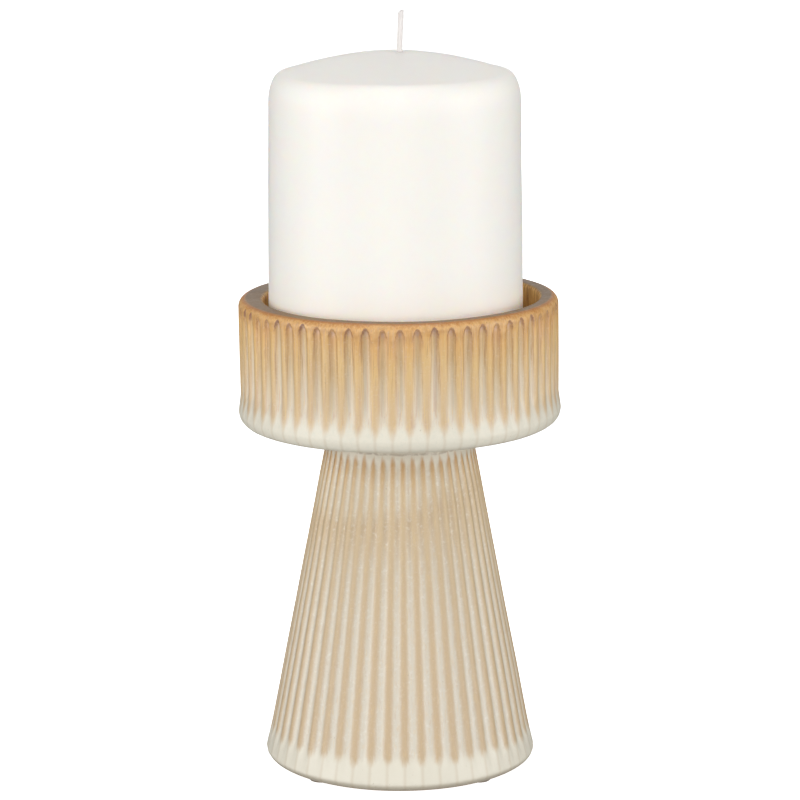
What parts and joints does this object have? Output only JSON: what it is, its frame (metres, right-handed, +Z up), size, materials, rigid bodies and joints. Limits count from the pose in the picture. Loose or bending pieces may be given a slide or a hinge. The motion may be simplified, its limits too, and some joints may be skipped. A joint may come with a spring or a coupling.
{
  "type": "pillar candle holder",
  "caption": "Glazed stoneware pedestal holder with a fluted conical foot and a fluted dish that holds a lift-out pillar candle.",
  "frame": {"origin": "on the holder's axis, on the surface that the felt pads stand on", "axes": "+Z up along the holder's axis, -Y towards the viewer, +X to the viewer's right"},
  "size_m": [0.0966, 0.0966, 0.2279],
  "materials": {
    "pedestal_glaze": "satin cream and tan reactive glaze over flutes",
    "slip": "satin cream glaze over clay slip",
    "dish_glaze": "satin amber, tan and cream reactive glaze over flutes",
    "felt": "short pressed felt",
    "wax": "smooth warm white wax",
    "cotton": "waxed cotton braid",
    "tinplate": "thin stamped tinplate"
  },
  "bodies": {
    "holder": {"dish": "dish_glaze", "pedestal": "pedestal_glaze", "luting_seam": "slip", "felt_pad_1": "felt", "felt_pad_2": "felt", "felt_pad_3": "felt", "felt_pad_4": "felt"},
    "candle": {"candle_wax": "wax", "wick": "cotton", "wick_sustainer": "tinplate"}
  },
  "joints": [
    {"name": "candle_lift", "type": "slide", "parent": "holder", "child": "candle", "axis": [0, 0, 1], "range_m": [0, 0.045]}
  ]
}
